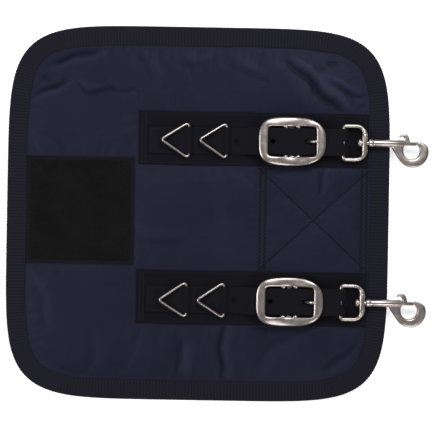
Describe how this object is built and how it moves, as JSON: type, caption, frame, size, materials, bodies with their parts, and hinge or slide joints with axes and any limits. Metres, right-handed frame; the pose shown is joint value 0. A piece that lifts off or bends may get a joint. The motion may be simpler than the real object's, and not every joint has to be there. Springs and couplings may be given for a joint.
{
  "type": "horse rug chest extender",
  "caption": "Padded square fabric panel with a bound edge, hook-and-loop patches, V-shaped wire rings and two buckled straps that end in swivel snap hooks.",
  "frame": {"origin": "on the table, under the middle of the whole object's footprint", "axes": "+X across the panel towards the snap hooks, +Y up the panel, +Z out of its face"},
  "size_m": [0.391, 0.348, 0.0193],
  "materials": {
    "face_fabric": "navy ripstop nylon with a slight sheen",
    "lining": "smooth navy nylon lining",
    "wadding": "white polyester wadding, sealed inside",
    "webbing": "near-black navy woven webbing and ribbed binding",
    "hook_patch": "black nylon hook tape",
    "loop_patch": "black brushed nylon loop tape",
    "satin_nickel": "satin, finely brushed nickel plate",
    "spring_steel": "bright drawn wire"
  },
  "bodies": {
    "panel": {"lining": "lining", "wadding": "wadding", "face_fabric": "face_fabric", "edge_binding": "webbing", "front_hook_patch": "hook_patch", "back_loop_patch": "loop_patch", "upper_base_webbing": "webbing", "upper_strap_sewn_end": "webbing", "lower_base_webbing": "webbing", "lower_strap_sewn_end": "webbing"},
    "upper_strap": {"upper_strap_free_end": "webbing", "upper_buckle_frame": "satin_nickel"},
    "upper_outer_ring": {"upper_outer_ring": "satin_nickel"},
    "upper_inner_ring": {"upper_inner_ring": "satin_nickel"},
    "upper_tongue": {"upper_buckle_tongue": "satin_nickel"},
    "upper_loop": {"upper_swivel_loop": "satin_nickel"},
    "upper_hook": {"upper_snap_hook": "satin_nickel", "upper_bolt_spring": "spring_steel"},
    "upper_bolt": {"upper_snap_bolt": "satin_nickel"},
    "lower_strap": {"lower_strap_free_end": "webbing", "lower_buckle_frame": "satin_nickel"},
    "lower_outer_ring": {"lower_outer_ring": "satin_nickel"},
    "lower_inner_ring": {"lower_inner_ring": "satin_nickel"},
    "lower_tongue": {"lower_buckle_tongue": "satin_nickel"},
    "lower_loop": {"lower_swivel_loop": "satin_nickel"},
    "lower_hook": {"lower_snap_hook": "satin_nickel", "lower_bolt_spring": "spring_steel"},
    "lower_bolt": {"lower_snap_bolt": "satin_nickel"}
  },
  "joints": [
    {"name": "upper_outer_ring_flip", "type": "hinge", "parent": "panel", "child": "upper_outer_ring", "pos_m": [-0.0265, 0.068, 0.00725], "axis": [0, -1, 0], "range_deg": [-115, 0]},
    {"name": "upper_inner_ring_flip", "type": "hinge", "parent": "panel", "child": "upper_inner_ring", "pos_m": [0.0085, 0.068, 0.00725], "axis": [0, -1, 0], "range_deg": [-115, 0]},
    {"name": "upper_strap_lift", "type": "hinge", "parent": "panel", "child": "upper_strap", "pos_m": [0.0125, 0.068, 0.00745], "axis": [0, -1, 0], "range_deg": [0, 75]},
    {"name": "upper_tongue_play", "type": "hinge", "parent": "upper_strap", "child": "upper_tongue", "pos_m": [0.0685, 0.068, 0.0091], "axis": [0, -1, 0], "range_deg": [0, 4]},
    {"name": "upper_loop_swing", "type": "hinge", "parent": "upper_strap", "child": "upper_loop", "pos_m": [0.1165, 0.068, 0.0099], "axis": [0, -1, 0], "range_deg": [0, 120]},
    {"name": "upper_hook_swivel", "type": "hinge", "parent": "upper_loop", "child": "upper_hook", "pos_m": [0.1359, 0.068, 0.0099], "axis": [1, 0, 0], "continuous": true},
    {"name": "upper_bolt_slide", "type": "slide", "parent": "upper_hook", "child": "upper_bolt", "axis": [-1, 0, 0], "range_m": [0, 0.008], "stiffness_N_per_m": 300, "springref_m": -0.002, "deforming": ["upper_bolt_spring"]},
    {"name": "lower_outer_ring_flip", "type": "hinge", "parent": "panel", "child": "lower_outer_ring", "pos_m": [-0.0265, -0.08, 0.00725], "axis": [0, -1, 0], "range_deg": [-115, 0]},
    {"name": "lower_inner_ring_flip", "type": "hinge", "parent": "panel", "child": "lower_inner_ring", "pos_m": [0.0085, -0.08, 0.00725], "axis": [0, -1, 0], "range_deg": [-115, 0]},
    {"name": "lower_strap_lift", "type": "hinge", "parent": "panel", "child": "lower_strap", "pos_m": [0.0125, -0.08, 0.00745], "axis": [0, -1, 0], "range_deg": [0, 75]},
    {"name": "lower_tongue_play", "type": "hinge", "parent": "lower_strap", "child": "lower_tongue", "pos_m": [0.0685, -0.08, 0.0091], "axis": [0, -1, 0], "range_deg": [0, 4]},
    {"name": "lower_loop_swing", "type": "hinge", "parent": "lower_strap", "child": "lower_loop", "pos_m": [0.1165, -0.08, 0.0099], "axis": [0, -1, 0], "range_deg": [0, 120]},
    {"name": "lower_hook_swivel", "type": "hinge", "parent": "lower_loop", "child": "lower_hook", "pos_m": [0.1359, -0.08, 0.0099], "axis": [1, 0, 0], "continuous": true},
    {"name": "lower_bolt_slide", "type": "slide", "parent": "lower_hook", "child": "lower_bolt", "axis": [-1, 0, 0], "range_m": [0, 0.008], "stiffness_N_per_m": 300, "springref_m": -0.002, "deforming": ["lower_bolt_spring"]}
  ]
}
